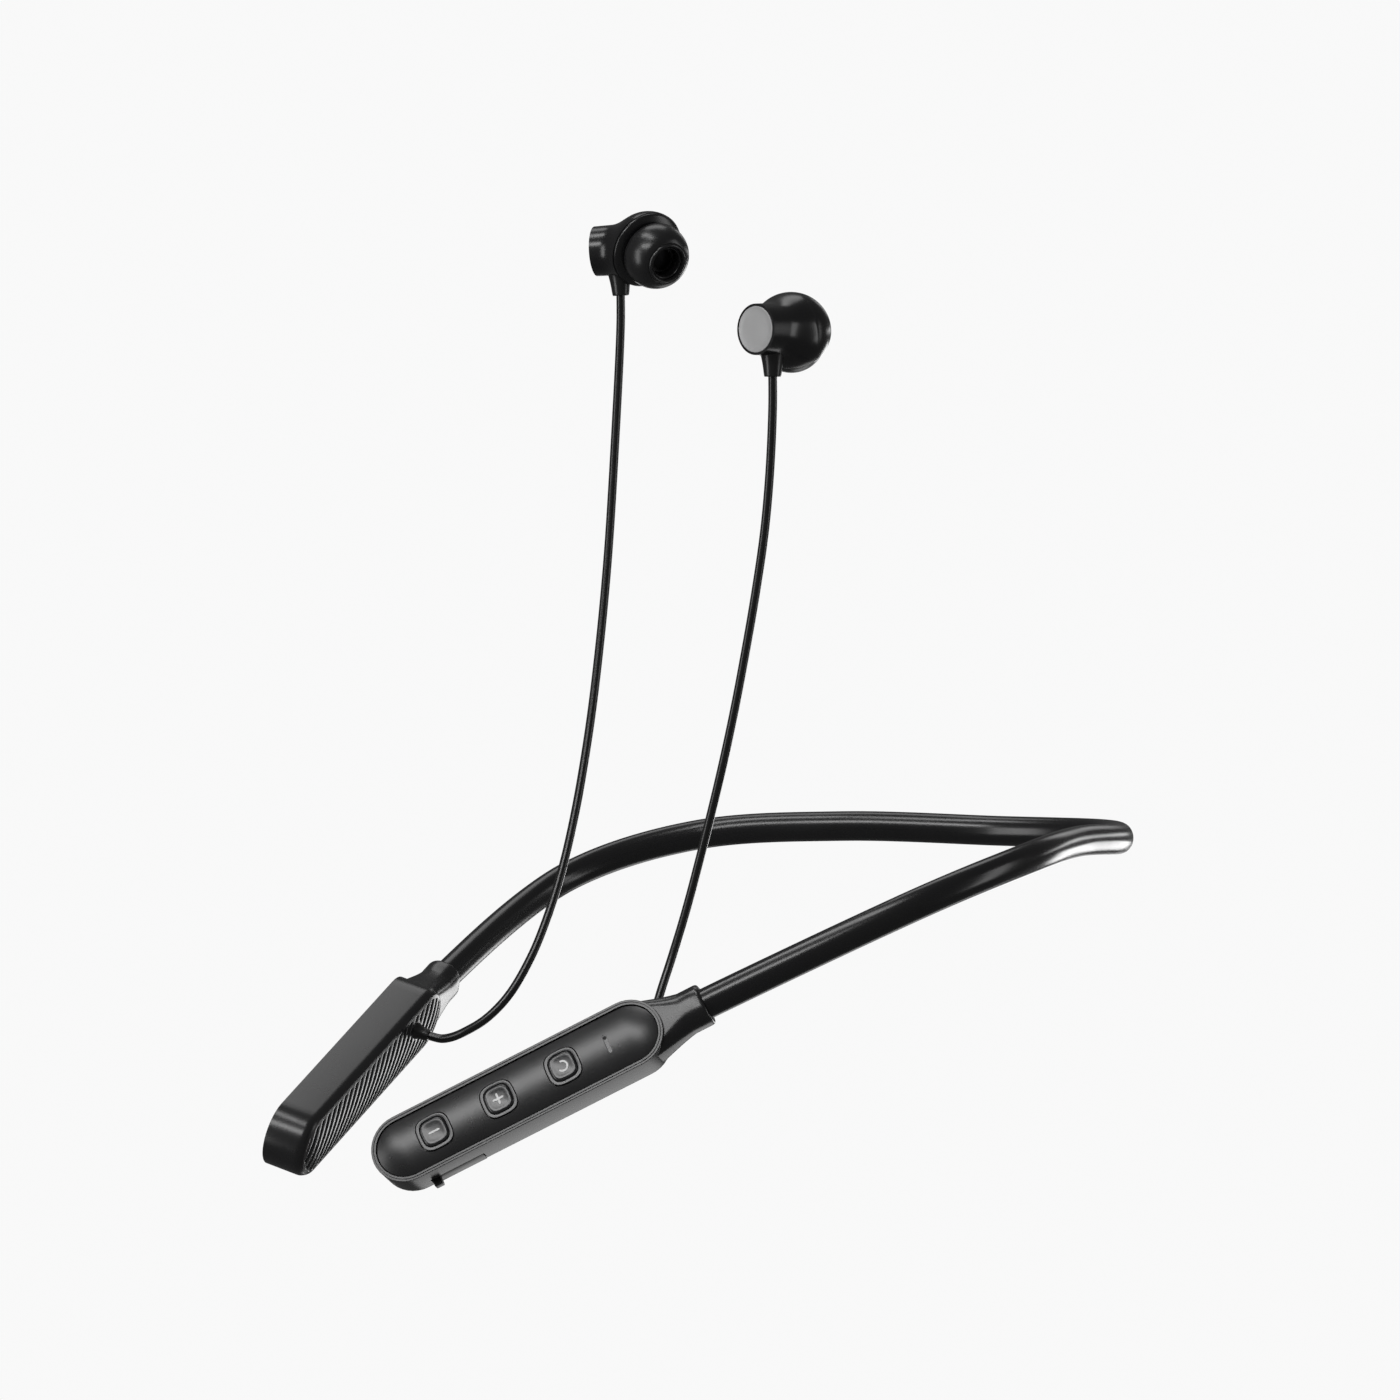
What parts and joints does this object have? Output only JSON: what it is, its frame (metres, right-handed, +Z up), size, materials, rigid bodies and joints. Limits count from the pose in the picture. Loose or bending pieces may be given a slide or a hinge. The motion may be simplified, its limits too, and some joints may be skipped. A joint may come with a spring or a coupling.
{
  "type": "neckband_earphones",
  "caption": "Neckband earphones: a slim open band round the neck ends in a flat control pod and a battery pod, each with a corded in-ear bud",
  "frame": {"origin": "where the middle of the band rests on the back of the neck: the middle of the band's neck-side face", "axes": "+Z up as worn, -Y the way the wearer faces, +X to the wearer's left, where the control pod hangs"},
  "size_m": [0.1482, 0.1724, 0.1851],
  "materials": {
    "band_silicone": "satin moulded silicone",
    "steel": "plain",
    "wire_jacket": "satin extruded jacket",
    "pod_shell": "satin moulded plastic",
    "pod_panel": "satin, fine grain",
    "ribbed_plastic": "satin, slanted ribs",
    "button_plastic": "satin",
    "black_rubber": "matt",
    "ear_tip_silicone": "smooth satin silicone",
    "bud_gloss": "glossy",
    "disc_metal": "fine spun grey",
    "circuit_board": "solder mask",
    "chip_black": "moulded epoxy",
    "light_guide": "clear diffusing",
    "battery_foil": "foil pouch"
  },
  "bodies": {
    "nape": {"band_sleeve_nape": "band_silicone", "memory_wire_nape": "steel", "harness_nape": "wire_jacket"},
    "left_arm": {"band_sleeve_left": "band_silicone", "memory_wire_left": "steel", "harness_left": "wire_jacket", "control_housing": "pod_shell", "control_panel": "pod_panel", "control_inner_cover": "ribbed_plastic", "main_board": "circuit_board", "bluetooth_chip": "chip_black", "crystal": "steel", "led_light_guide": "light_guide", "microphone": "steel", "usb_socket": "steel", "minus_switch": "steel", "plus_switch": "steel", "function_switch": "steel", "left_grommet": "black_rubber", "left_cord": "wire_jacket"},
    "minus_button": {"minus_button": "button_plastic"},
    "plus_button": {"plus_button": "button_plastic"},
    "function_button": {"function_button": "button_plastic"},
    "port_cover": {"port_cover": "black_rubber"},
    "right_arm": {"band_sleeve_right": "band_silicone", "memory_wire_right": "steel", "harness_right": "wire_jacket", "battery_housing": "pod_shell", "battery_panel": "pod_panel", "battery_inner_cover": "ribbed_plastic", "battery_cell": "battery_foil", "protection_board": "circuit_board", "right_grommet": "black_rubber", "right_cord": "wire_jacket"},
    "left_bud": {"left_rear_housing": "bud_gloss", "left_end_disc": "disc_metal", "left_magnet": "steel", "left_driver": "steel", "left_front_housing": "bud_gloss", "left_nozzle_mesh": "steel", "left_strain_relief": "black_rubber"},
    "left_ear_tip": {"left_ear_tip": "ear_tip_silicone"},
    "right_bud": {"right_rear_housing": "bud_gloss", "right_end_disc": "disc_metal", "right_magnet": "steel", "right_driver": "steel", "right_front_housing": "bud_gloss", "right_nozzle_mesh": "steel", "right_strain_relief": "black_rubber"},
    "right_ear_tip": {"right_ear_tip": "ear_tip_silicone"}
  },
  "joints": [
    {"name": "left_flex", "type": "hinge", "parent": "nape", "child": "left_arm", "pos_m": [0.05257, -0.03519, 0.00035], "axis": [0, 0, 1], "range_deg": [-5, 12], "stiffness_Nm_per_rad": 0.8},
    {"name": "right_flex", "type": "hinge", "parent": "nape", "child": "right_arm", "pos_m": [-0.05257, -0.03519, 0.00035], "axis": [0, 0, -1], "range_deg": [-5, 12], "stiffness_Nm_per_rad": 0.8},
    {"name": "minus_press", "type": "slide", "parent": "left_arm", "child": "minus_button", "axis": [-0.6904, 0.6493, -0.319], "range_m": [0, 0.00035], "stiffness_N_per_m": 1500},
    {"name": "plus_press", "type": "slide", "parent": "left_arm", "child": "plus_button", "axis": [-0.6904, 0.6493, -0.319], "range_m": [0, 0.00035], "stiffness_N_per_m": 1500},
    {"name": "function_press", "type": "slide", "parent": "left_arm", "child": "function_button", "axis": [-0.6904, 0.6493, -0.319], "range_m": [0, 0.00035], "stiffness_N_per_m": 1500},
    {"name": "port_cover_hinge", "type": "hinge", "parent": "left_arm", "child": "port_cover", "pos_m": [0.03268, -0.14835, -0.05641], "axis": [0.6904, -0.6493, 0.319], "range_deg": [0, 100]},
    {"name": "left_bud_twist", "type": "hinge", "parent": "left_arm", "child": "left_bud", "pos_m": [0.03518, -0.08903, 0.0978], "axis": [0, 0, 1], "range_deg": [-60, 60], "stiffness_Nm_per_rad": 0.002},
    {"name": "left_ear_tip_pull", "type": "slide", "parent": "left_bud", "child": "left_ear_tip", "axis": [-0.8027, 0.4505, -0.3907], "range_m": [0, 0.008]},
    {"name": "right_bud_twist", "type": "hinge", "parent": "right_arm", "child": "right_bud", "pos_m": [-0.03531, -0.085, 0.11404], "axis": [-0.0364, -0.0376, 0.9986], "range_deg": [-60, 60], "stiffness_Nm_per_rad": 0.002},
    {"name": "right_ear_tip_pull", "type": "slide", "parent": "right_bud", "child": "right_ear_tip", "axis": [0.9325, 0.067, -0.3548], "range_m": [0, 0.008]}
  ]
}
